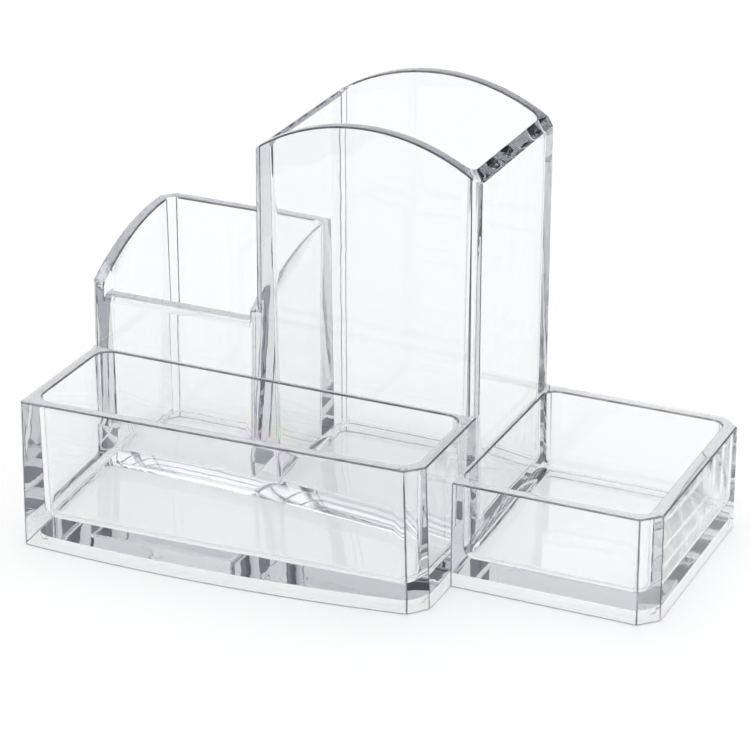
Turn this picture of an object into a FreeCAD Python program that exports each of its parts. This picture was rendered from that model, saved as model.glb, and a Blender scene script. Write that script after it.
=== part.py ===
"""Clear vanity caddy: a tall arched brush cup, a scoop-sided bin and two low trays on one plinth.

Millimetres, +Z up. The origin is under the middle of the plan. The front is towards -Y.
Every piece is modelled from its own front left corner and is then placed from the shared sizes.
"""
import FreeCAD, Part
import Sketcher
import math
import os

SIZES = (
    # The plan
    ("bin_length", "49.4", "Rear bin, left to right"),
    ("bin_depth", "43.5", "Rear bin, front to back"),
    ("cup_length", "63.1", "Brush cup, left to right"),
    ("cup_depth", "52.0", "Brush cup, front to back"),
    ("tray_depth", "41.2", "Front tray, front to back at its fullest"),
    ("side_length", "55.5", "Side tray, left to right"),
    ("side_depth", "67.6", "Side tray, front to back"),
    # The levels, all from the table
    ("plinth_height", "5.0", "Top of the plinth"),
    ("tray_height", "41.3", "Rim of the front tray"),
    ("side_height", "29.6", "Rim of the side tray"),
    ("lip_height", "57.0", "Front lip of the rear bin"),
    ("scoop_height", "59.9", "Scooped side wall of the rear bin at its front"),
    ("bin_height", "71.5", "Back wall of the rear bin"),
    ("shoulder_height", "105.0", "Brush cup at its left and right walls"),
    ("arch_height", "115.2", "Brush cup at the crown of its arch"),
    # The free walls, at their rims
    ("tray_wall", "3.2", "Left and right walls of the front tray"),
    ("tray_front_wall", "3.3", "Bowed front wall of the front tray"),
    ("side_wall", "3.8", "Right wall of the side tray"),
    ("side_end_wall", "3.3", "Front and back walls of the side tray"),
    ("bin_wall", "3.2", "Left, front and back walls of the rear bin"),
    ("cup_wall", "3.2", "All four walls of the brush cup"),
    ("bonded_wall", "1.1", "A thin wall that is bonded to a thicker neighbour"),
    # The floors
    ("tray_floor", "2.0", "Floor of a tray or of the bin above the plinth"),
    ("cup_floor", "4.0", "Floor of the brush cup above the plinth"),
    ("floor_round", "1.5", "Round where a floor meets its walls"),
    # The bowed front
    ("bow_radius", "466.0", "Front curve at the plinth"),
    ("bow_middle", "28.2", "Fullest point of the front curve, from the left"),
    ("rim_back_left", "1.5", "Straight front rim behind the fullest point, at its left end"),
    ("rim_back_right", "4.9", "Straight front rim behind the fullest point, at its right end"),
    # Drafts, in degrees
    ("outer_draft", "0.5", "Draft of the free outer walls"),
    ("pocket_draft", "1.2", "Draft of the tray and bin pockets"),
    ("cup_draft", "0.6", "Draft of the pocket in the brush cup"),
    # Flat cuts across the standing corners, each measured along the wall
    ("tray_left_cut", "0.8", "Front left corner of the front tray"),
    ("tray_right_cut", "4.2", "Front right corner of the front tray"),
    ("side_cut", "4.7", "Right corners of the side tray"),
    ("bin_cut", "3.6", "Back left corner of the rear bin"),
    ("bin_front_cut", "1.2", "Front left corner of the rear bin above the tray"),
    ("cup_cut", "2.0", "Standing corners of the brush cup"),
    # Rounds in plan
    ("tray_pocket_corner", "4.5", "Pocket corners of the front tray"),
    ("side_pocket_corner", "3.5", "Pocket corners of the side tray"),
    ("bin_pocket_corner", "2.2", "Pocket corners of the rear bin"),
    ("cup_pocket_corner", "2.5", "Pocket corners of the brush cup"),
    # The scoop, the lip and the rims
    ("scoop_run", "38.0", "Length over which the scoop rises to the back wall"),
    ("lip_round", "2.2", "Round of the front lip of the rear bin"),
    ("rim_bevel", "0.4", "Bevel of the rim edges"),
    # The underside
    ("skirt", "3.2", "Wall that stands on the table around the recess"),
    ("recess_depth", "3.0", "Recess under the plinth"),
    ("recess_corner", "5.0", "Corners of the recess"),
    ("foot_bevel", "0.3", "Bevel of the bottom edge"),
)

TRAY_LENGTH = "(Sizes.bin_length + Sizes.cup_length)"
TOTAL_LENGTH = "(Sizes.bin_length + Sizes.cup_length + Sizes.side_length)"
TOTAL_DEPTH = "(Sizes.tray_depth + Sizes.cup_depth)"
NOTCH = "(Sizes.tray_depth + Sizes.cup_depth - Sizes.side_depth)"
TOUCH = 1e-4


def add_sizes(doc):
    """Put every size in the sheet under its own alias."""
    sheet = doc.addObject("Spreadsheet::Sheet", "Sizes")
    for row, (alias, value, note) in enumerate(SIZES, start=1):
        sheet.set("A%d" % row, note)
        sheet.set("B%d" % row, value)
        sheet.setAlias("B%d" % row, alias)
    doc.recompute()
    return sheet


def value_of(owner, expression):
    """Give the number that an expression stands for now."""
    result = owner.evalExpression(expression)
    return float(getattr(result, "Value", result))


def new_body(doc, name, x, y, z):
    """Start a piece whose own front left corner stands at x, y, z."""
    body = doc.addObject("PartDesign::Body", name)
    body.Label = name
    body.setExpression("Placement.Base.x", x)
    body.setExpression("Placement.Base.y", y)
    body.setExpression("Placement.Base.z", z)
    return body


def body_plane(body, role):
    """Find one of the body's own planes."""
    return [feature for feature in body.Origin.OriginFeatures if feature.Role == role][0]


def new_sketch(body, name, role, offset):
    """Start a sketch on one of the body's own planes, moved along its normal."""
    plane = body_plane(body, role)
    sketch = body.newObject("Sketcher::SketchObject", name)
    sketch.AttachmentSupport = [(plane, "")]
    sketch.MapMode = "FlatFace"
    sketch.setExpression("AttachmentOffset.Base.z", offset)
    return sketch


def bind(sketch, kind, name, expression, *place):
    """Add a dimension that takes its size from an expression."""
    size = value_of(sketch, expression)
    if kind in ("DistanceX", "DistanceY") and abs(size) < TOUCH:
        axis = -2 if kind == "DistanceX" else -1
        sketch.addConstraint(Sketcher.Constraint("PointOnObject", place[-2], place[-1], axis))
        return
    index = sketch.addConstraint(Sketcher.Constraint(kind, *place, size))
    sketch.renameConstraint(index, name)
    sketch.setExpression("Constraints." + name, expression)


def point(x, y):
    return FreeCAD.Vector(x, y, 0)


def outline(sketch, walls, bow=None, far=None):
    """Draw a closed outline, anticlockwise, from walls that stand square to each other.

    Each wall is its name, the axis that it crosses, its place on that axis and the radius of
    the corner after it, or None where that corner is sharp. The first wall can differ: bow, a
    radius and a middle, makes it an arc that touches its place at that middle, and far, the
    place of its other end, makes it a straight wall that slants.
    """
    count = len(walls)
    places = [value_of(sketch, wall[2]) for wall in walls]
    radii = [value_of(sketch, wall[3]) if wall[3] else 0.0 for wall in walls]
    corners = []
    for turn in range(count):
        after = (turn + 1) % count
        if walls[turn][1] == "X":
            corners.append(point(places[turn], places[after]))
        else:
            corners.append(point(places[after], places[turn]))
    if far:
        corners[0].y = value_of(sketch, far)
    starts = [None] * count
    ends = [None] * count
    centres = [None] * count
    for turn in range(count):
        after = (turn + 1) % count
        into = (corners[turn] - corners[turn - 1]).normalize()
        out = (corners[after] - corners[turn]).normalize()
        trim = radii[turn] * math.tan(into.getAngle(out) / 2)
        ends[turn] = corners[turn] - into * trim
        starts[after] = corners[turn] + out * trim
        centres[turn] = ends[turn] + point(-into.y, into.x) * radii[turn]
    if bow:
        bow_size = value_of(sketch, bow[0])
        middle = value_of(sketch, bow[1])
        bow_centre = point(middle, places[0] + bow_size)
        for turn, side in ((0, 1), (count - 1, -1)):
            reach = abs(corners[turn].x - middle) - radii[turn]
            rise = ((bow_size - radii[turn]) ** 2 - reach ** 2) ** 0.5
            centres[turn] = point(middle + side * reach, bow_centre.y - rise)
            meet = bow_centre + (centres[turn] - bow_centre).normalize() * bow_size
            flank = centres[turn] + point(side * radii[turn], 0)
            if turn == 0:
                ends[0] = meet
                starts[1] = flank
            else:
                starts[0] = meet
                ends[turn] = flank
    edges = []
    arcs = []
    for turn in range(count):
        if bow and turn == 0:
            edges.append(sketch.addGeometry(arc_between(bow_centre, starts[0], ends[0])))
        else:
            edges.append(sketch.addGeometry(Part.LineSegment(starts[turn], ends[turn])))
        arcs.append(None)
        if walls[turn][3]:
            corner = arc_between(centres[turn], ends[turn], starts[(turn + 1) % count])
            arcs[turn] = sketch.addGeometry(corner)
    for turn in range(count):
        name, axis, place, radius = walls[turn]
        after = (turn + 1) % count
        if arcs[turn] is None:
            join = Sketcher.Constraint("Coincident", edges[turn], 2, edges[after], 1)
            sketch.addConstraint(join)
        else:
            sketch.addConstraint(Sketcher.Constraint("Tangent", edges[turn], 2, arcs[turn], 1))
            sketch.addConstraint(Sketcher.Constraint("Tangent", arcs[turn], 2, edges[after], 1))
            bind(sketch, "Radius", name + "_corner", radius, arcs[turn])
        if bow and turn == 0:
            bind(sketch, "Radius", "bow", bow[0], edges[0])
            bind(sketch, "DistanceX", "bow_middle", bow[1], -1, 1, edges[0], 3)
            bind(sketch, "DistanceY", "bow_reach", "%s + %s" % (place, bow[0]), -1, 1, edges[0], 3)
        elif far and turn == 0:
            bind(sketch, "DistanceY", name, place, -1, 1, edges[0], 1)
            bind(sketch, "DistanceY", name + "_far", far, -1, 1, edges[0], 2)
        else:
            lie = "Vertical" if axis == "X" else "Horizontal"
            sketch.addConstraint(Sketcher.Constraint(lie, edges[turn]))
            bind(sketch, "Distance" + axis, name, place, -1, 1, edges[turn], 1)


def arc_between(centre, start, end):
    """Make the anticlockwise arc from start to end about a centre."""
    circle = Part.Circle(centre, FreeCAD.Vector(0, 0, 1), (start - centre).Length)
    return Part.ArcOfCircle(circle, circle.parameter(start), circle.parameter(end))


def loft(body, kind, name, first, last):
    """Join two outlines by straight drafted walls, as solid or as a pocket."""
    feature = body.newObject("PartDesign::" + kind, name)
    feature.Profile = first
    feature.Sections = [last]
    feature.Ruled = True
    first.Visibility = False
    last.Visibility = False
    return feature


def cut(doc, body, feature):
    """Check that a feature that takes material away does so."""
    before = feature.BaseFeature.Shape.Volume
    doc.recompute()
    if not feature.Shape.isValid() or feature.Shape.Volume >= before:
        raise RuntimeError("%s takes nothing from %s" % (feature.Name, body.Name))


def finish_edges(doc, body, kind, name, size, pick):
    """Round or bevel the edges that pick finds on the body's last shape."""
    doc.recompute()
    base = body.Tip
    chosen = pick(base.Shape)
    names = []
    for number, edge in enumerate(base.Shape.Edges, start=1):
        if any(edge.isSame(other) for other in chosen):
            names.append("Edge%d" % number)
    feature = body.newObject("PartDesign::" + kind, name)
    feature.Base = (base, names)
    feature.setExpression("Radius" if kind == "Fillet" else "Size", size)
    base.Visibility = False
    doc.recompute()
    if not feature.Shape.isValid() or near(feature.Shape.Volume, base.Shape.Volume):
        raise RuntimeError("%s changes nothing on %s" % (name, body.Name))


def near(first, second):
    return abs(first - second) < TOUCH


def flat_faces(shape, level):
    """Find the flat faces that lie at a level."""
    found = []
    for face in shape.Faces:
        if near(face.BoundBox.ZMin, level) and near(face.BoundBox.ZMax, level):
            found.append(face)
    return found


def arc_faces(shape, axis):
    """Find the faces that curve about a level axis, x or y."""
    found = []
    for face in shape.Faces:
        if face.Surface.TypeId == "Part::GeomCylinder":
            if abs(getattr(face.Surface.Axis, axis)) > 1 - TOUCH:
                found.append(face)
    return found


def standing_edges(shape, level, wanted):
    """Find the edges that rise from a level and whose feet, x and y, are wanted."""
    found = []
    for edge in shape.Edges:
        box = edge.BoundBox
        if near(box.ZMin, level) and box.ZLength > box.XLength + box.YLength:
            foot = min(edge.Vertexes, key=lambda vertex: vertex.Z)
            if wanted(foot.X, foot.Y):
                found.append(edge)
    return found


def lean_at(height):
    """Write how far a drafted outer wall has leaned in at a height above the plinth."""
    return "(%s) * tan(Sizes.outer_draft)" % height


def footprint(body, name, level, inset, corner):
    """Draw the plan of the whole caddy, or the same plan moved inwards by an inset."""
    sketch = new_sketch(body, name, "XY_Plane", level)
    outline(sketch, (
        ("front", "Y", inset, corner),
        ("tray_right", "X", "%s - %s" % (TRAY_LENGTH, inset), None),
        ("side_front", "Y", "%s + %s" % (NOTCH, inset), corner),
        ("side_right", "X", "%s - %s" % (TOTAL_LENGTH, inset), corner),
        ("cup_back", "Y", "%s - %s" % (TOTAL_DEPTH, inset), corner),
        ("cup_left", "X", "Sizes.bin_length + %s" % inset, None),
        ("bin_back", "Y", "Sizes.tray_depth + Sizes.bin_depth - %s" % inset, corner),
        ("left", "X", inset, corner),
    ), bow=("(Sizes.bow_radius - %s)" % inset, "Sizes.bow_middle"))
    return sketch


def base_plinth(doc):
    """The common base: a low plinth with a recess underneath, standing on its skirt."""
    body = new_body(doc, "base_plinth", "-%s / 2" % TOTAL_LENGTH, "-%s / 2" % TOTAL_DEPTH, "0")
    plan = footprint(body, "PlinthPlan", "0", "0", None)
    pad(doc, body, "PlinthSlab", plan, "Sizes.plinth_height")
    tray_right = value_of(body, TRAY_LENGTH)
    notch = value_of(body, NOTCH)
    right = value_of(body, TOTAL_LENGTH)
    cup_left = value_of(body, "Sizes.bin_length")
    cup_back = value_of(body, TOTAL_DEPTH)
    bin_back = value_of(body, "Sizes.tray_depth + Sizes.bin_depth")
    for name, size, wanted in (
        ("PlinthTrayLeft", "Sizes.tray_left_cut", lambda x, y: near(x, 0) and y < notch),
        ("PlinthTrayRight", "Sizes.tray_right_cut", lambda x, y: near(x, tray_right) and y < notch - TOUCH),
        ("PlinthSide", "Sizes.side_cut", lambda x, y: near(x, right)),
        ("PlinthCup", "Sizes.cup_cut", lambda x, y: near(x, cup_left) and near(y, cup_back)),
        ("PlinthBin", "Sizes.bin_cut", lambda x, y: near(x, 0) and near(y, bin_back)),
    ):
        finish_corners(doc, body, "Chamfer", name, size, "0", wanted)
    hollow = footprint(body, "RecessPlan", "0", "Sizes.skirt", "Sizes.recess_corner")
    recess = body.newObject("PartDesign::Pocket", "PlinthRecess")
    recess.Profile = hollow
    recess.Reversed = True
    recess.setExpression("Length", "Sizes.recess_depth")
    hollow.Visibility = False
    cut(doc, body, recess)

    def foot_edges(shape):
        return flat_faces(shape, 0)[0].OuterWire.Edges

    finish_edges(doc, body, "Chamfer", "FootBevel", "Sizes.foot_bevel", foot_edges)
    return body


def pad(doc, body, name, plan, length):
    """Raise a plan to a solid."""
    feature = body.newObject("PartDesign::Pad", name)
    feature.Profile = plan
    feature.setExpression("Length", length)
    plan.Visibility = False
    doc.recompute()
    return feature


def level_plane(body, name, height):
    """Set up a level plane to draft from."""
    plane = body.newObject("PartDesign::Plane", name)
    plane.AttachmentSupport = [(body_plane(body, "XY_Plane"), "")]
    plane.MapMode = "FlatFace"
    plane.setExpression("AttachmentOffset.Base.z", height)
    return plane


def draft(doc, body, name, angle, plane, pick):
    """Lean the upright faces that pick finds to look upwards, about their line on a level plane."""
    doc.recompute()
    base = body.Tip
    names = []
    for number, face in enumerate(base.Shape.Faces, start=1):
        if pick(face):
            names.append("Face%d" % number)
    feature = body.newObject("PartDesign::Draft", name)
    feature.Base = (base, names)
    feature.NeutralPlane = (plane, [""])
    feature.Reversed = False
    feature.setExpression("Angle", angle)
    base.Visibility = False
    doc.recompute()
    if near(feature.Shape.Volume, base.Shape.Volume):
        raise RuntimeError("%s leans nothing" % name)


def pocket_faces(doc, body, low):
    """Find the walls of the last pocket, from the solid's faces that end on its floor."""
    doc.recompute()
    level = value_of(body, low)
    return [face for face in body.Tip.Shape.Faces
            if near(face.BoundBox.ZMin, level) and not near(face.BoundBox.ZMax, level)]


def sink_pocket(doc, body, mouth, height, low, angle, corner, far=None):
    """Sink a drafted pocket with round corners from its mouth; far slants its front wall."""
    opening = new_sketch(body, body.Name + "_mouth", "XY_Plane", height)
    outline(opening, mouth, far=far)
    pocket = body.newObject("PartDesign::Pocket", body.Name + "_pocket")
    pocket.Profile = opening
    pocket.setExpression("Length", "%s - %s" % (height, low))
    opening.Visibility = False
    cut(doc, body, pocket)
    plane = level_plane(body, body.Name + "_mouth_level", height)
    walls = pocket_faces(doc, body, low)
    draft(doc, body, body.Name + "_pocket_draft", angle, plane,
          lambda face: any(face.isSame(wall) for wall in walls))
    finish_corners(doc, body, "Fillet", body.Name + "_pocket_corners", corner, low, every_foot)


def every_foot(x, y):
    return True


def finish_corners(doc, body, kind, name, size, low, wanted):
    """Round or cut the standing edges that rise from a level and whose feet are wanted."""
    level = value_of(body, low)

    def corners(shape):
        return standing_edges(shape, level, wanted)

    finish_edges(doc, body, kind, name, size, corners)


def round_floor(doc, body, low):
    """Round the pocket where its walls meet the floor."""
    level = value_of(body, low)

    def floor_edges(shape):
        return flat_faces(shape, level)[0].OuterWire.Edges

    finish_edges(doc, body, "Fillet", body.Name + "_floor_round", "Sizes.floor_round", floor_edges)


def bevel_rim(doc, body, height, axis, seam):
    """Bevel the edges of the flat rim, apart from its edge along the bonded seam."""
    top = value_of(body, height)
    place = value_of(body, seam)

    def rim_edges(shape):
        edges = flat_faces(shape, top)[0].Edges
        return [edge for edge in edges if not along(edge, axis, place)]

    finish_edges(doc, body, "Chamfer", body.Name + "_rim_bevel", "Sizes.rim_bevel", rim_edges)


def along(shape, axis, place):
    """Tell whether a shape lies wholly at a place on an axis."""
    box = shape.BoundBox
    return near(getattr(box, axis + "Min"), place) and near(getattr(box, axis + "Max"), place)


def upright_block(doc, body, walls, height, bonded):
    """Raise a block and draft its free walls; bonded walls stay upright to meet their neighbours.

    Bonded walls are named by their axis and their place on it.
    """
    plan = new_sketch(body, body.Name + "_plan", "XY_Plane", "0")
    outline(plan, walls)
    pad(doc, body, body.Name + "_block", plan, height)
    kept = [(axis, value_of(body, place)) for axis, place in bonded]

    def free(face):
        if along(face, "Z", face.BoundBox.ZMin):
            return False
        return not any(along(face, axis, place) for axis, place in kept)

    base = body_plane(body, "XY_Plane")
    draft(doc, body, body.Name + "_draft", "Sizes.outer_draft", base, free)


def front_tray(doc):
    """The low tray across the front: its front wall is bowed at the foot and straight at the rim."""
    body = new_body(doc, "front_tray", "-%s / 2" % TOTAL_LENGTH, "-%s / 2" % TOTAL_DEPTH,
                    "Sizes.plinth_height")
    height = "(Sizes.tray_height - Sizes.plinth_height)"
    low = "Sizes.tray_floor"
    lean = lean_at(height)
    wall = "Sizes.tray_wall"
    front_wall = "Sizes.tray_front_wall"
    right = TRAY_LENGTH
    back = "Sizes.tray_depth"
    foot = new_sketch(body, "TrayFoot", "XY_Plane", "0")
    outline(foot, (
        ("front", "Y", "0", None),
        ("right", "X", right, None),
        ("back", "Y", back, None),
        ("left", "X", "0", None),
    ), bow=("Sizes.bow_radius", "Sizes.bow_middle"))
    rim = new_sketch(body, "TrayRim", "XY_Plane", height)
    outline(rim, (
        ("front", "Y", "Sizes.rim_back_left", None),
        ("right", "X", right, None),
        ("back", "Y", back, None),
        ("left", "X", lean, None),
    ), far="Sizes.rim_back_right")
    loft(body, "AdditiveLoft", "TrayBlock", foot, rim)
    doc.recompute()
    foot_back = "Sizes.bow_radius - sqrt(Sizes.bow_radius ^ 2 - (%s - Sizes.bow_middle) ^ 2)" % right
    spread = "(%s - %s) * tan(Sizes.pocket_draft)" % (height, low)
    least = "%s + Sizes.bonded_wall - %s" % (foot_back, spread)
    sink_pocket(doc, body, (
        ("front", "Y", "Sizes.rim_back_left + %s" % front_wall, None),
        ("right", "X", "%s - %s" % (right, wall), None),
        ("back", "Y", "%s - Sizes.bonded_wall" % back, None),
        ("left", "X", "%s + %s" % (lean, wall), None),
    ), height, low, "Sizes.pocket_draft", "Sizes.tray_pocket_corner",
        far="max(Sizes.rim_back_right + %s; %s)" % (front_wall, least))
    end = value_of(body, right)
    seam = value_of(body, back)
    finish_corners(doc, body, "Chamfer", "TrayLeftCut", "Sizes.tray_left_cut", "0",
                   lambda x, y: near(x, 0) and not near(y, seam))
    finish_corners(doc, body, "Chamfer", "TrayRightCut", "Sizes.tray_right_cut", "0",
                   lambda x, y: near(x, end) and not near(y, seam))
    bevel_rim(doc, body, height, "Y", back)
    round_floor(doc, body, low)
    return body


def side_tray(doc):
    """The lowest tray, at the right: its left wall is bonded to the cup and the front tray."""
    body = new_body(doc, "side_tray", "%s - %s / 2" % (TRAY_LENGTH, TOTAL_LENGTH),
                    "%s - %s / 2" % (NOTCH, TOTAL_DEPTH), "Sizes.plinth_height")
    height = "(Sizes.side_height - Sizes.plinth_height)"
    low = "Sizes.tray_floor"
    lean = lean_at(height)
    right = "Sizes.side_length"
    back = "Sizes.side_depth"
    upright_block(doc, body, (
        ("front", "Y", "0", None),
        ("right", "X", right, None),
        ("back", "Y", back, None),
        ("left", "X", "0", None),
    ), height, bonded=(("X", "0"),))
    end = value_of(body, right)
    finish_corners(doc, body, "Chamfer", "SideCuts", "Sizes.side_cut", "0",
                   lambda x, y: near(x, end))
    sink_pocket(doc, body, (
        ("front", "Y", "%s + Sizes.side_end_wall" % lean, None),
        ("right", "X", "%s - %s - Sizes.side_wall" % (right, lean), None),
        ("back", "Y", "%s - %s - Sizes.side_end_wall" % (back, lean), None),
        ("left", "X", "Sizes.bonded_wall", None),
    ), height, low, "Sizes.pocket_draft", "Sizes.side_pocket_corner")
    bevel_rim(doc, body, height, "X", "0")
    round_floor(doc, body, low)
    return body


def corner_profile(sketch, x, y, way_x, way_y, size):
    """Draw what a flat cut takes off a square corner that opens along way_x and way_y."""
    corner = point(value_of(sketch, x), value_of(sketch, y))
    reach = value_of(sketch, size)
    flat_end = corner + point(way_x * reach, 0)
    upright_end = corner + point(0, way_y * reach)
    across = sketch.addGeometry(Part.LineSegment(corner, flat_end))
    slant = sketch.addGeometry(Part.LineSegment(flat_end, upright_end))
    upright = sketch.addGeometry(Part.LineSegment(upright_end, corner))
    sketch.addConstraint(Sketcher.Constraint("Horizontal", across))
    sketch.addConstraint(Sketcher.Constraint("Vertical", upright))
    sketch.addConstraint(Sketcher.Constraint("Coincident", across, 2, slant, 1))
    sketch.addConstraint(Sketcher.Constraint("Coincident", slant, 2, upright, 1))
    sketch.addConstraint(Sketcher.Constraint("Coincident", upright, 2, across, 1))
    sketch.addConstraint(Sketcher.Constraint("Equal", across, upright))
    bind(sketch, "DistanceX", "corner_x", x, -1, 1, across, 1)
    bind(sketch, "DistanceY", "corner_y", y, -1, 1, across, 1)
    bind(sketch, "Distance", "corner_cut", size, across)


def rear_bin(doc):
    """The open bin behind the tray: scooped side walls that run down to a low rounded lip."""
    body = new_body(doc, "rear_bin", "-%s / 2" % TOTAL_LENGTH,
                    "Sizes.tray_depth - %s / 2" % TOTAL_DEPTH, "Sizes.plinth_height")
    height = "(Sizes.bin_height - Sizes.plinth_height)"
    low = "Sizes.tray_floor"
    lean = lean_at(height)
    right = "Sizes.bin_length"
    back = "Sizes.bin_depth"
    wall = "Sizes.bin_wall"
    upright_block(doc, body, (
        ("front", "Y", "0", None),
        ("right", "X", right, None),
        ("back", "Y", back, None),
        ("left", "X", "0", None),
    ), height, bonded=(("X", right), ("Y", "0")))
    end = value_of(body, back)
    finish_corners(doc, body, "Chamfer", "BinCut", "Sizes.bin_cut", "0",
                   lambda x, y: near(x, 0) and near(y, end))
    sink_pocket(doc, body, (
        ("front", "Y", wall, None),
        ("right", "X", "%s - Sizes.bonded_wall" % right, None),
        ("back", "Y", "%s - %s - %s" % (back, lean, wall), None),
        ("left", "X", "%s + %s" % (lean, wall), None),
    ), height, low, "Sizes.pocket_draft", "Sizes.bin_pocket_corner")
    start = "(Sizes.tray_height - Sizes.plinth_height)"
    low_corner = new_sketch(body, "BinCornerLow", "XY_Plane", start)
    corner_profile(low_corner, lean_at(start), "0", 1, 1, "Sizes.bin_front_cut")
    high_corner = new_sketch(body, "BinCornerHigh", "XY_Plane", height)
    corner_profile(high_corner, lean, "0", 1, 1, "Sizes.bin_front_cut")
    corner = loft(body, "SubtractiveLoft", "BinFrontCorner", low_corner, high_corner)
    cut(doc, body, corner)
    scoop(doc, body, height)
    seam = value_of(body, right)
    top = value_of(body, height)

    def rim_edges(shape):
        edges = [edge for face in flat_faces(shape, top) + arc_faces(shape, "x") for edge in face.Edges]
        return [edge for edge in edges if not along(edge, "X", seam)]

    finish_edges(doc, body, "Chamfer", "BinRimBevel", "Sizes.rim_bevel", rim_edges)
    lip(doc, body, height, start, lean)
    round_floor(doc, body, low)
    return body


def scoop(doc, body, height):
    """Cut the side walls to an arc that rises from the front and runs level into the back."""
    sketch = new_sketch(body, "ScoopProfile", "YZ_Plane", "0")
    front = "(Sizes.scoop_height - Sizes.plinth_height)"
    run = value_of(sketch, "Sizes.scoop_run")
    low = value_of(sketch, front)
    high = value_of(sketch, height)
    rise = high - low
    radius = (run ** 2 + rise ** 2) / (2 * rise)
    crown = point(run, high)
    foot = point(0, low)
    edge = point(0, high)
    arc = sketch.addGeometry(arc_between(point(run, high - radius), crown, foot))
    down = sketch.addGeometry(Part.LineSegment(foot, edge))
    level = sketch.addGeometry(Part.LineSegment(edge, crown))
    sketch.addConstraint(Sketcher.Constraint("Coincident", arc, 2, down, 1))
    sketch.addConstraint(Sketcher.Constraint("Coincident", down, 2, level, 1))
    sketch.addConstraint(Sketcher.Constraint("Tangent", level, 2, arc, 1))
    sketch.addConstraint(Sketcher.Constraint("Vertical", down))
    sketch.addConstraint(Sketcher.Constraint("Horizontal", level))
    sketch.addConstraint(Sketcher.Constraint("PointOnObject", down, 1, -2))
    bind(sketch, "DistanceX", "run", "Sizes.scoop_run", -1, 1, level, 2)
    bind(sketch, "DistanceY", "front_height", front, -1, 1, down, 1)
    bind(sketch, "DistanceY", "back_height", height, -1, 1, level, 2)
    feature = body.newObject("PartDesign::Pocket", "Scoop")
    feature.Profile = sketch
    feature.Type = "ThroughAll"
    feature.Reversed = True
    sketch.Visibility = False
    cut(doc, body, feature)


def lip(doc, body, height, start, lean):
    """Stand the front wall full height between the side walls, then lower it to a rounded lip."""
    depth = "(Sizes.bin_height - Sizes.lip_height) * tan(Sizes.pocket_draft)"
    left = "(%s + Sizes.bin_wall + %s)" % (lean, depth)
    width = "Sizes.bin_length - Sizes.bonded_wall - %s - %s" % (depth, left)
    section = new_sketch(body, "LipWallSection", "YZ_Plane", left)
    outline(section, (
        ("low", "Y", start, None),
        ("inside", "X", "Sizes.bin_wall + " + depth, None),
        ("high", "Y", height, None),
        ("outside", "X", "0", None),
    ))
    pad(doc, body, "LipWall", section, width)
    sketch = new_sketch(body, "LipProfile", "YZ_Plane", left)
    lip_level = "(Sizes.lip_height - Sizes.plinth_height)"
    reach = "2 * Sizes.bin_wall"
    size = value_of(sketch, "Sizes.lip_round")
    top = value_of(sketch, lip_level)
    high = value_of(sketch, height)
    inner = value_of(sketch, reach)
    round_end = point(0, top - size)
    arc = sketch.addGeometry(arc_between(point(size, top - size), point(size, top), round_end))
    face = sketch.addGeometry(Part.LineSegment(round_end, point(0, high)))
    over = sketch.addGeometry(Part.LineSegment(point(0, high), point(inner, high)))
    inside = sketch.addGeometry(Part.LineSegment(point(inner, high), point(inner, top)))
    flat = sketch.addGeometry(Part.LineSegment(point(inner, top), point(size, top)))
    sketch.addConstraint(Sketcher.Constraint("Tangent", arc, 2, face, 1))
    sketch.addConstraint(Sketcher.Constraint("Coincident", face, 2, over, 1))
    sketch.addConstraint(Sketcher.Constraint("Coincident", over, 2, inside, 1))
    sketch.addConstraint(Sketcher.Constraint("Coincident", inside, 2, flat, 1))
    sketch.addConstraint(Sketcher.Constraint("Tangent", flat, 2, arc, 1))
    sketch.addConstraint(Sketcher.Constraint("Vertical", face))
    sketch.addConstraint(Sketcher.Constraint("Horizontal", over))
    sketch.addConstraint(Sketcher.Constraint("Vertical", inside))
    sketch.addConstraint(Sketcher.Constraint("Horizontal", flat))
    sketch.addConstraint(Sketcher.Constraint("PointOnObject", face, 1, -2))
    bind(sketch, "Radius", "lip_round", "Sizes.lip_round", arc)
    bind(sketch, "DistanceX", "reach", reach, -1, 1, inside, 1)
    bind(sketch, "DistanceY", "top", height, -1, 1, inside, 1)
    bind(sketch, "DistanceY", "lip_level", lip_level, -1, 1, flat, 1)
    feature = body.newObject("PartDesign::Pocket", "Lip")
    feature.Profile = sketch
    feature.Reversed = True
    feature.setExpression("Length", width)
    sketch.Visibility = False
    cut(doc, body, feature)


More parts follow.
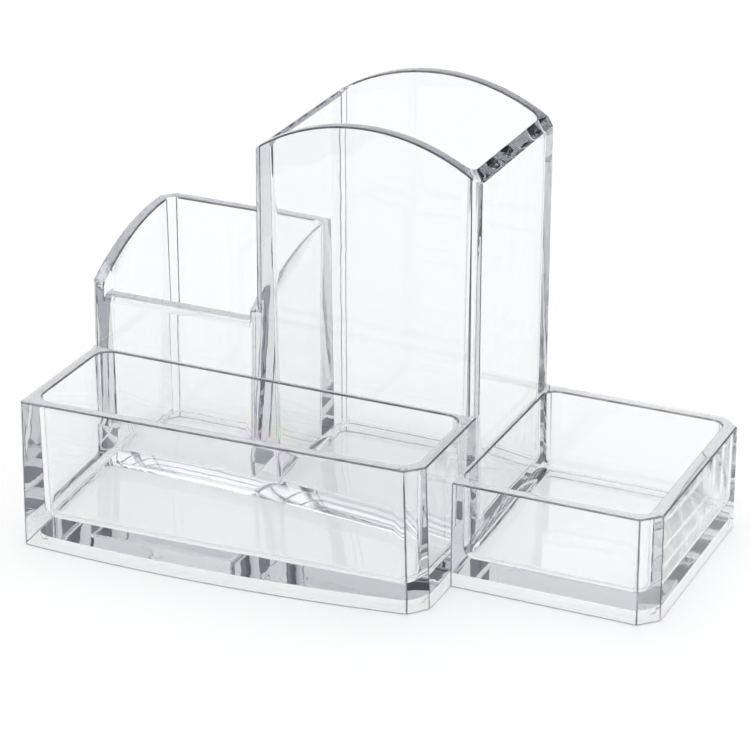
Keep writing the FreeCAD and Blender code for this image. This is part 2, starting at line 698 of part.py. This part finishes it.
def brush_cup(doc):
    """The tall cup at the back: an arched rim, with cut corners where it stands free."""
    body = new_body(doc, "brush_cup", "Sizes.bin_length - %s / 2" % TOTAL_LENGTH,
                    "Sizes.tray_depth - %s / 2" % TOTAL_DEPTH, "Sizes.plinth_height")
    height = "(max(Sizes.arch_height; Sizes.shoulder_height) - Sizes.plinth_height)"
    right = "Sizes.cup_length"
    back = "Sizes.cup_depth"
    plan = new_sketch(body, "CupPlan", "XY_Plane", "0")
    outline(plan, (
        ("front", "Y", "0", None),
        ("right", "X", right, None),
        ("back", "Y", back, None),
        ("left", "X", "0", None),
    ))
    pad(doc, body, "CupBlock", plan, height)
    end = value_of(body, back)
    finish_corners(doc, body, "Chamfer", "CupBackLeft", "Sizes.cup_cut", "0",
                   lambda x, y: near(x, 0) and near(y, end))
    low = "Sizes.cup_floor"
    sink_pocket(doc, body, (
        ("front", "Y", "Sizes.cup_wall", None),
        ("right", "X", "%s - Sizes.cup_wall" % right, None),
        ("back", "Y", "%s - Sizes.cup_wall" % back, None),
        ("left", "X", "Sizes.cup_wall", None),
    ), height, low, "Sizes.cup_draft", "Sizes.cup_pocket_corner")
    arch(doc, body, height)
    for name, level, x, y, way_x, way_y in (
        ("CupFrontLeft", "Sizes.scoop_height", "0", "0", 1, 1),
        ("CupFrontRight", "Sizes.tray_height", right, "0", -1, 1),
        ("CupBackRight", "Sizes.side_height", right, back, -1, -1),
    ):
        profile = new_sketch(body, name + "Profile", "XY_Plane", level + " - Sizes.plinth_height")
        corner_profile(profile, x, y, way_x, way_y, "Sizes.cup_cut")
        corner = body.newObject("PartDesign::Pocket", name)
        corner.Profile = profile
        corner.Type = "ThroughAll"
        corner.Reversed = True
        profile.Visibility = False
        cut(doc, body, corner)

    def rim_edges(shape):
        return [edge for face in arc_faces(shape, "y") for edge in face.Edges]

    finish_edges(doc, body, "Chamfer", "CupRimBevel", "Sizes.rim_bevel", rim_edges)
    round_floor(doc, body, low)
    return body


def arch(doc, body, height):
    """Cut the top of the cup to one arc from shoulder to shoulder by way of its middle."""
    sketch = new_sketch(body, "ArchProfile", "XZ_Plane", "0")
    shoulder = "(Sizes.shoulder_height - Sizes.plinth_height)"
    rise = "(Sizes.arch_height - Sizes.shoulder_height)"
    above = "%s + Sizes.cup_wall" % height
    width = value_of(sketch, "Sizes.cup_length")
    low = value_of(sketch, shoulder)
    high = value_of(sketch, above)
    crown = value_of(sketch, rise)
    middle = point(width / 2, low + crown)
    bend = Part.Arc(point(width, low), middle, point(0, low))
    at_left, at_right = (2, 1) if crown > 0 else (1, 2)
    arc = sketch.addGeometry(bend)
    left = sketch.addGeometry(Part.LineSegment(point(0, low), point(0, high)))
    over = sketch.addGeometry(Part.LineSegment(point(0, high), point(width, high)))
    right = sketch.addGeometry(Part.LineSegment(point(width, high), point(width, low)))
    sketch.addConstraint(Sketcher.Constraint("Coincident", arc, at_left, left, 1))
    sketch.addConstraint(Sketcher.Constraint("Coincident", left, 2, over, 1))
    sketch.addConstraint(Sketcher.Constraint("Coincident", over, 2, right, 1))
    sketch.addConstraint(Sketcher.Constraint("Coincident", right, 2, arc, at_right))
    sketch.addConstraint(Sketcher.Constraint("Vertical", left))
    sketch.addConstraint(Sketcher.Constraint("Horizontal", over))
    sketch.addConstraint(Sketcher.Constraint("Vertical", right))
    sketch.addConstraint(Sketcher.Constraint("PointOnObject", left, 1, -2))
    bind(sketch, "DistanceX", "width", "Sizes.cup_length", -1, 1, right, 1)
    bind(sketch, "DistanceY", "left_shoulder", shoulder, -1, 1, left, 1)
    bind(sketch, "DistanceY", "right_shoulder", shoulder, -1, 1, right, 2)
    bind(sketch, "DistanceY", "above", above, -1, 1, right, 1)
    radius = "(Sizes.cup_length ^ 2 / 4 + %s ^ 2) / (2 * abs%s)" % (rise, rise)
    bind(sketch, "Radius", "arch_radius", radius, arc)
    feature = body.newObject("PartDesign::Pocket", "Arch")
    feature.Profile = sketch
    feature.Type = "ThroughAll"
    sketch.Visibility = False
    cut(doc, body, feature)


def check(doc):
    """Stop if any object of the model did not build."""
    for item in doc.Objects:
        if "Invalid" in item.State or "Error" in item.State:
            raise RuntimeError("%s did not build" % item.Name)


document = FreeCAD.newDocument("Caddy")
add_sizes(document)
pieces = [base_plinth(document), front_tray(document), rear_bin(document),
          brush_cup(document), side_tray(document)]
document.recompute()
check(document)
os.makedirs("parts", exist_ok=True)
for piece in pieces:
    if piece.Shape.isNull() or not piece.Shape.isValid() or len(piece.Shape.Solids) != 1:
        raise RuntimeError("%s is not one sound solid" % piece.Label)
    piece.Shape.exportStep("parts/%s.step" % piece.Label)
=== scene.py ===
import math

import bmesh
import bpy
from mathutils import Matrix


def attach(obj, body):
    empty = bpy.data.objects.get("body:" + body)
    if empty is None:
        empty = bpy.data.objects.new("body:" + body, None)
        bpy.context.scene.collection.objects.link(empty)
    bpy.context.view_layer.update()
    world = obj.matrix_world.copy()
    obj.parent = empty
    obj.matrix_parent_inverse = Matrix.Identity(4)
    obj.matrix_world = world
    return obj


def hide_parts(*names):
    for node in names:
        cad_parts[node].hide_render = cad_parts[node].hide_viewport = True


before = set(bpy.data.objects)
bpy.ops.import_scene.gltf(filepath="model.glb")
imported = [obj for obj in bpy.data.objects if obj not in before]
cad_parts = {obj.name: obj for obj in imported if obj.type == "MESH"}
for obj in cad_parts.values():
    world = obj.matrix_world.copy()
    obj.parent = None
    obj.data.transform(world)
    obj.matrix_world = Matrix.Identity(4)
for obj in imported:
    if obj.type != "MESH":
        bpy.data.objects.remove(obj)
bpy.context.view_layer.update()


# The plinth: a low slab of hard clear plastic with a shallow recess underneath.
# It is moulded by itself, and the four compartments are bonded on top of it.
# All the skins become one, because a good bond in clear plastic doesn't show.
MICRON = 1e-6
LINE_UP = (1.0, 7.31, 53.7)


def moulding(name):
    """Copy a piece's mesh with its loose triangles joined and its corners set to the micron."""
    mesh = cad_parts[name].data.copy()
    shape = bmesh.new()
    shape.from_mesh(mesh)
    bmesh.ops.remove_doubles(shape, verts=shape.verts, dist=2 * MICRON)
    bmesh.ops.dissolve_degenerate(shape, edges=shape.edges, dist=MICRON)
    for vertex in shape.verts:
        vertex.co = [round(place, 6) for place in vertex.co]
    shape.to_mesh(mesh)
    shape.free()
    mesh.materials.clear()
    piece = bpy.data.objects.new("clear_" + name, mesh)
    bpy.context.scene.collection.objects.link(piece)
    return piece


def rank(part):
    """Give a corner, an edge or a face a number that follows from its place alone."""
    points = getattr(part, "verts", [part])
    return sum(point.co.dot(LINE_UP) for point in points) / len(points)


def in_order(shape):
    """Number a mesh's parts by their places, because a join numbers them differently each time."""
    for parts in (shape.verts, shape.edges, shape.faces):
        parts.sort(key=rank)


def join(body, piece, operation="UNION"):
    """Make a piece one with a body, or cut it out of the body, and close the slits that are left."""
    bond = body.modifiers.new("bond", "BOOLEAN")
    bond.operation = operation
    bond.solver = "EXACT"
    bond.object = piece
    graph = bpy.context.evaluated_depsgraph_get()
    joined = bpy.data.meshes.new_from_object(body.evaluated_get(graph))
    shape = bmesh.new()
    shape.from_mesh(joined)
    slits = [edge for edge in shape.edges if edge.is_boundary]
    bmesh.ops.holes_fill(shape, edges=slits, sides=0)
    in_order(shape)
    shape.to_mesh(joined)
    shape.free()
    body.modifiers.clear()
    body.data = joined
    bpy.data.objects.remove(piece)


caddy = moulding("base_plinth")
caddy.name = "clear_caddy"

# The front tray: the long low box across the front, of the same clear plastic.
# Its front wall bows at the foot and is straight at the rim, and its floor runs
# up into the walls in a wide round.
TRAY_POCKET = ((-0.07985, -0.04115), (0.02467, -0.03779), (0.02467, -0.00713), (-0.07985, -0.00713))
TRAY_FLOOR = 0.007
TRAY_POCKET_CORNER = 0.0045
TRAY_SWEEP = 0.0040
INTO_WALL = 0.0006
INTO_FLOOR = 0.0005
CLEAR_OF_WALL = 0.00002
ABOVE_FLOOR = 0.00005
CORNER_STEPS = 6
SWEEP_STEPS = 8


def block(name, corners, spread, low, high):
    """Start a four-cornered block, spread outwards a little on all sides."""
    middle_x = sum(corner[0] for corner in corners) / len(corners)
    middle_y = sum(corner[1] for corner in corners) / len(corners)
    shape = bmesh.new()
    foot = []
    for x, y in corners:
        x += math.copysign(spread, x - middle_x)
        y += math.copysign(spread, y - middle_y)
        foot.append(shape.verts.new((x, y, low)))
    made = bmesh.ops.extrude_face_region(shape, geom=[shape.faces.new(foot)])
    top = [item for item in made["geom"] if isinstance(item, bmesh.types.BMVert)]
    bmesh.ops.translate(shape, verts=top, vec=(0, 0, high - low))
    bmesh.ops.recalc_face_normals(shape, faces=shape.faces)
    piece = bpy.data.objects.new(name, bpy.data.meshes.new(name))
    bpy.context.scene.collection.objects.link(piece)
    return piece, shape


def rounded(shape, edges, size, steps):
    """Round some edges of a block."""
    bmesh.ops.bevel(
        shape, geom=edges, offset=size, offset_type="OFFSET", segments=steps, profile=0.5,
        affect="EDGES", material=-1
    )


def sweep_up(body, pocket, floor, corner, sweep):
    """Fill the foot of a pocket, so that its floor runs up into its walls in one wide round.

    The filling reaches a little into the walls and the floor, and a rounded hollow is cut out of it.
    """
    filling, shape = block("filling", pocket, INTO_WALL, floor - INTO_FLOOR, floor + sweep)
    shape.to_mesh(filling.data)
    shape.free()
    bottom = floor + ABOVE_FLOOR
    hollow, shape = block("hollow", pocket, CLEAR_OF_WALL, bottom, floor + 3 * sweep)
    upright = [edge for edge in shape.edges if edge.verts[0].co.z != edge.verts[1].co.z]
    rounded(shape, upright, corner, CORNER_STEPS)
    foot = [
        edge for edge in shape.edges
        if max(vertex.co.z for vertex in edge.verts) < bottom + ABOVE_FLOOR
    ]
    rounded(shape, foot, sweep, SWEEP_STEPS)
    shape.to_mesh(hollow.data)
    shape.free()
    join(filling, hollow, "DIFFERENCE")
    join(body, filling)


join(caddy, moulding("front_tray"))
sweep_up(caddy, TRAY_POCKET, TRAY_FLOOR, TRAY_POCKET_CORNER, TRAY_SWEEP)

# The rear bin: behind the tray at the left. Its side walls are scooped down to
# a low front lip with a rounded edge. It is moulded in the same clear plastic.
join(caddy, moulding("rear_bin"))

# The brush cup: the tall box at the back, with an arched rim at its front and
# its back. It is moulded in the same clear plastic, with the thickest floor.
join(caddy, moulding("brush_cup"))

# The side tray: the lowest box, at the right, with two corners cut off flat.
# Its thin left wall is bonded to the cup and to the front tray, and its floor
# runs up into its walls as the front tray's does.
SIDE_POCKET = ((0.02999, -0.01710), (0.07960, -0.01710), (0.07960, 0.04270), (0.02999, 0.04270))
SIDE_FLOOR = 0.007
SIDE_POCKET_CORNER = 0.0035
SIDE_SWEEP = 0.0032

side_tray = moulding("side_tray")
sweep_up(side_tray, SIDE_POCKET, SIDE_FLOOR, SIDE_POCKET_CORNER, SIDE_SWEEP)
join(caddy, side_tray)

# The fine edges: the mould leaves no sharp edge. The rims and the foot have a
# narrow bevel already, and the standing corners get theirs here. The bevels
# take the second material on the skin, whose colour is painted shade: a
# thin dark line along each edge.
FLAT = math.radians(0.2)
SHARP_CORNER = math.radians(26)
UPRIGHT = 0.8
CORNER_BEVEL = 0.00025
WIDEST_BEVEL = 0.0008
BEVEL_TURN = (math.radians(35), math.radians(60))
LONG_EDGE = 0.6
CREASE = math.radians(50)
FINE_EDGE = 1


def stands(edge):
    """Tell whether an edge is a sharp standing corner."""
    way = (edge.verts[1].co - edge.verts[0].co).normalized()
    return edge.is_manifold and edge.calc_face_angle() > SHARP_CORNER and abs(way.z) > UPRIGHT


def narrow(face):
    """Tell whether a face is part of a narrow bevel, by its width and the turn at its long edges."""
    longest = max(edge.calc_length() for edge in face.edges)
    turns = [
        edge for edge in face.edges
        if edge.is_manifold and edge.calc_length() > LONG_EDGE * longest
        and BEVEL_TURN[0] < edge.calc_face_angle() < BEVEL_TURN[1]
    ]
    area = face.calc_area() * (2 if len(face.edges) == 3 else 1)
    return bool(turns) and area / longest < WIDEST_BEVEL


caddy.data.materials.clear()
skin = bmesh.new()
skin.from_mesh(caddy.data)
bmesh.ops.remove_doubles(skin, verts=skin.verts, dist=2 * MICRON)
bmesh.ops.dissolve_limit(
    skin, angle_limit=FLAT, verts=skin.verts, edges=skin.edges, delimit=set()
)
for face in [face for face in skin.faces if narrow(face)]:
    face.material_index = FINE_EDGE
corners = bmesh.ops.bevel(
    skin, geom=[edge for edge in skin.edges if stands(edge)], offset=CORNER_BEVEL,
    offset_type="OFFSET", segments=1, profile=0.5, affect="EDGES", clamp_overlap=False, material=-1
)
for face in corners["faces"]:
    face.material_index = FINE_EDGE
bmesh.ops.triangulate(skin, faces=skin.faces)
for face in skin.faces:
    face.smooth = True
for edge in skin.edges:
    edge.smooth = edge.is_manifold and edge.calc_face_angle() < CREASE
skin.to_mesh(caddy.data)
skin.free()
even = caddy.modifiers.new("even_normals", "WEIGHTED_NORMAL")
even.mode = "FACE_AREA"
even.weight = 50
even.keep_sharp = True
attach(caddy, "root")
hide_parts("base_plinth", "front_tray", "rear_bin", "brush_cup", "side_tray")

# The clear plastic: hard, glossy and colourless, faintly blue-grey only where
# light runs a long way through it. The mould leaves a slow ripple in the
# surface. A faint rainbow sheen is painted into the colour of the tray's back
# wall, where stress in the plastic shows as faint colours.
CLEAR = (0.988, 0.990, 0.993, 1)
CLEAR_INDEX = 1.49
LONG_WAY_TINT = (0.60, 0.62, 0.655, 1)
LONG_WAY_DENSITY = 15.0
RIPPLE_SCALE = 120.0
RIPPLE_DETAIL = 2.0
RIPPLE_HEIGHT = 0.000025
SHEEN_CENTRE = (-0.031, -0.006, 0.024)
SHEEN_REACH = (90.0, 220.0, 75.0)
SHEEN_FADE = (1.0, 0.1)
SHEEN_STRENGTH = 0.35
SHEEN_SATURATION = 0.45
CURL_SCALE = 60.0
CURLS = 3.0
BANDS_UP = 60.0
BANDS_ACROSS = 40.0


class Tone:
    """A number or colour in a node tree, written with ordinary sums."""

    def __init__(self, tree, socket=None):
        self.tree = tree
        self.socket = socket

    def node(self, kind, inputs, output=0, **settings):
        """Feed values into a new node of any kind and take one of its outputs."""
        made = self.tree.nodes.new(kind)
        for name, value in settings.items():
            setattr(made, name, value)
        for slot, value in inputs.items():
            if isinstance(value, Tone):
                self.tree.links.new(value.socket, made.inputs[slot])
            else:
                made.inputs[slot].default_value = value
        return Tone(self.tree, made.outputs[output])

    def maths(self, operation, *values):
        """Work out one sum on values."""
        return self.node("ShaderNodeMath", dict(enumerate(values)), operation=operation)

    def fade(self, begin, end, full=1.0):
        """Go smoothly from 0 where the value is begin to full where it is end."""
        return self.node(
            "ShaderNodeMapRange", {0: self, 1: begin, 2: end, 3: 0.0, 4: full},
            interpolation_type="SMOOTHSTEP"
        )

    def blend(self, under, over):
        """Lay one colour over another by this amount."""
        return self.node("ShaderNodeMix", {0: self, 6: under, 7: over}, 2, data_type="RGBA")

    def into(self, slot):
        """Link this to a socket of a shader."""
        self.tree.links.new(self.socket, slot)

    def __add__(self, other):
        return self.maths("ADD", self, other)

    def __radd__(self, other):
        return self.maths("ADD", other, self)

    def __sub__(self, other):
        return self.maths("SUBTRACT", self, other)

    def __rsub__(self, other):
        return self.maths("SUBTRACT", other, self)

    def __mul__(self, other):
        return self.maths("MULTIPLY", self, other)

    def __rmul__(self, other):
        return self.maths("MULTIPLY", other, self)

    def __or__(self, other):
        return self.maths("MAXIMUM", self, other)

    def __ror__(self, other):
        return self.maths("MAXIMUM", other, self)


plastic = bpy.data.materials.new("clear_plastic")
plastic.use_nodes = True
tree = plastic.node_tree
shader = tree.nodes["Principled BSDF"]
shader.inputs["Roughness"].default_value = 0.0
shader.inputs["IOR"].default_value = CLEAR_INDEX
shader.inputs["Transmission Weight"].default_value = 1.0
start = Tone(tree)
place = start.node("ShaderNodeTexCoord", {}, "Object")
ripple = start.node("ShaderNodeTexNoise", {"Vector": place, "Scale": RIPPLE_SCALE, "Detail": RIPPLE_DETAIL})
wave = start.node("ShaderNodeBump", {"Height": ripple, "Distance": RIPPLE_HEIGHT, "Strength": 1.0})
wave.into(shader.inputs["Normal"])

across, deep, high = (start.node("ShaderNodeSeparateXYZ", {0: place}, axis) for axis in range(3))
off_across = (across - SHEEN_CENTRE[0]) * SHEEN_REACH[0]
off_deep = (deep - SHEEN_CENTRE[1]) * SHEEN_REACH[1]
off_high = (high - SHEEN_CENTRE[2]) * SHEEN_REACH[2]
off = off_across * off_across + off_deep * off_deep + off_high * off_high
curl = start.node("ShaderNodeTexNoise", {"Vector": place, "Scale": CURL_SCALE, "Detail": 1.0})
turn = curl * CURLS + high * BANDS_UP + across * BANDS_ACROSS
hue = turn.maths("FRACT", turn)
sheen_colours = start.node("ShaderNodeCombineColor", {0: hue, 1: SHEEN_SATURATION, 2: 1.0}, mode="HSV")
# painted sheen: faint rainbow colours laid over the clear colour around the tray's back wall
painted_sheen = off.fade(*SHEEN_FADE, SHEEN_STRENGTH)
painted_sheen.blend(CLEAR, sheen_colours).into(shader.inputs["Base Color"])

ends = tree.nodes["Material Output"]
inside = start.node("ShaderNodeVolumeAbsorption", {0: LONG_WAY_TINT, 1: LONG_WAY_DENSITY})
inside.into(ends.inputs["Volume"])
shadow = start.node("ShaderNodeLightPath", {}, "Is Shadow Ray")
open_way = start.node("ShaderNodeBsdfTransparent", {0: (1, 1, 1, 1)})
skin_or_open = start.node(
    "ShaderNodeMixShader", {0: shadow, 1: Tone(tree, shader.outputs[0]), 2: open_way}
)
skin_or_open.into(ends.inputs["Surface"])

# The fine edges' material: the same plastic, left a little dull by the mould.
# Its colour is painted shade: a dark grey that takes up some of the light,
# lighter or darker in places by a noise, so that each edge draws as a thin grey line.
DULLNESS = 0.12
PAINTED_LINE_NOISE_SCALE = 260.0
PAINTED_LINE_NOISE_RANGE = (0.35, 0.65)
DARKEST_LINE = 0.25
LIGHTEST_LINE = 0.62
LINE_RED = 0.96
LINE_BLUE = 1.08

painted_edge_lines = plastic.copy()
painted_edge_lines.name = "painted_edge_lines"
tree = painted_edge_lines.node_tree
shader = tree.nodes["Principled BSDF"]
shader.inputs["Roughness"].default_value = DULLNESS
start = Tone(tree)
place = start.node("ShaderNodeTexCoord", {}, "Object")
# painted shade: a noise that makes the painted edge lines lighter in some places and darker in others
painted_line_noise = start.node("ShaderNodeTexNoise", {"Vector": place, "Scale": PAINTED_LINE_NOISE_SCALE, "Detail": 2.0})
grey = start.node(
    "ShaderNodeMapRange",
    {0: painted_line_noise, 1: PAINTED_LINE_NOISE_RANGE[0], 2: PAINTED_LINE_NOISE_RANGE[1], 3: DARKEST_LINE, 4: LIGHTEST_LINE}
)
line = start.node(
    "ShaderNodeCombineColor", {0: grey * LINE_RED, 1: grey, 2: grey * LINE_BLUE}, mode="RGB"
)
line.into(shader.inputs["Base Color"])
caddy.data.materials.append(plastic)
caddy.data.materials.append(painted_edge_lines)

# The floor: a strip of white paper that runs away from the eye under the caddy.
# To the eye and to the plastic it has a little white of its own, so that it ends
# in the white behind, and it keeps the caddy's soft shadow.
EYE_TURN = 24.465
STRIP_CENTRE = (-0.166, 0.364, 0)
STRIP_SIZE = (0.5, 2.6, 1)
PAPER = (0.85, 0.85, 0.85, 1)
PAPER_ROUGHNESS = 0.9
OWN_WHITE = 0.15

bpy.ops.mesh.primitive_plane_add(size=1)
floor = bpy.context.object
floor.name = "floor"
floor.scale = STRIP_SIZE
floor.location = STRIP_CENTRE
floor.rotation_euler = (0, 0, math.radians(EYE_TURN))
paper = bpy.data.materials.new("white_paper")
paper.use_nodes = True
tree = paper.node_tree
shader = tree.nodes["Principled BSDF"]
shader.inputs["Base Color"].default_value = PAPER
shader.inputs["Roughness"].default_value = PAPER_ROUGHNESS
shader.inputs["Specular IOR Level"].default_value = 0.0
shader.inputs["Emission Strength"].default_value = 1.0
start = Tone(tree)
camera_ray = start.node("ShaderNodeLightPath", {}, "Is Camera Ray")
glossy_ray = start.node("ShaderNodeLightPath", {}, "Is Glossy Ray")
inner_ray = start.node("ShaderNodeLightPath", {}, "Is Transmission Ray")
((camera_ray | glossy_ray | inner_ray) * OWN_WHITE).into(shader.inputs["Emission Color"])
floor.data.materials.append(paper)

# The studio: a white wall behind, a broad soft light above, a dim front where
# the eye is, a black card at the left and a grey one at the right. The plastic's
# edges take their lines from the cards, and the eye sees white all round.
AWAY_EAST = -0.414
AWAY_NORTH = 0.910
WALL = (1, 1, 1, 1)
DIM_FRONT = (0.20, 0.21, 0.24, 1)
BLACK_CARD = (0.06, 0.065, 0.08, 1)
GREY_CARD = (0.26, 0.275, 0.31, 1)
SOFT_LIGHT = (1.44, 1.44, 1.44, 1)
FRONT_FADE = (-0.1, -0.6)
LEFT_FADE = (-0.32, -0.5)
RIGHT_FADE = (0.32, 0.5)
ABOVE_FADE = (0.45, 0.75)

world = bpy.data.worlds.new("studio")
bpy.context.scene.world = world
world.use_nodes = True
tree = world.node_tree
start = Tone(tree)
way = start.node("ShaderNodeTexCoord", {}, "Generated")
east, north, rise = (start.node("ShaderNodeSeparateXYZ", {0: way}, axis) for axis in range(3))
ahead = east * AWAY_EAST + north * AWAY_NORTH
right = east * AWAY_NORTH - north * AWAY_EAST
light = ahead.fade(*FRONT_FADE).blend(WALL, DIM_FRONT)
light = right.fade(*LEFT_FADE).blend(light, BLACK_CARD)
light = right.fade(*RIGHT_FADE).blend(light, GREY_CARD)
light = rise.fade(*ABOVE_FADE).blend(light, SOFT_LIGHT)
light = start.node("ShaderNodeLightPath", {}, "Is Camera Ray").blend(light, WALL)
light.into(tree.nodes["Background"].inputs["Color"])
tree.nodes["Background"].inputs["Strength"].default_value = 1.0

# The light's paths: light turns many times inside the clear walls before it gets
# out, so it is followed a long way. Colours are shown as they are written.
bpy.context.scene.cycles.max_bounces = 48
bpy.context.scene.cycles.glossy_bounces = 32
bpy.context.scene.cycles.transmission_bounces = 32
bpy.context.scene.view_settings.view_transform = "Standard"

# The eye: a long lens that looks down on the caddy from the right of its front,
# some 0.8 m away. It is turned and dipped towards the middle of the caddy.
EYE = (0.2995, -0.66375, 0.3711)
EYE_DIP = 24.061
SENSOR_WIDTH = 36
LENS_IN_PIXELS = 3054.1
IMAGE_WIDTH = 750

camera = bpy.data.cameras.new("camera")
camera.sensor_width = SENSOR_WIDTH
camera.lens = LENS_IN_PIXELS / IMAGE_WIDTH * SENSOR_WIDTH
camera.clip_end = 20
viewer = bpy.data.objects.new("camera", camera)
bpy.context.scene.collection.objects.link(viewer)
viewer.location = EYE
viewer.rotation_euler = (math.radians(90 - EYE_DIP), 0, math.radians(EYE_TURN))
bpy.context.scene.camera = viewer
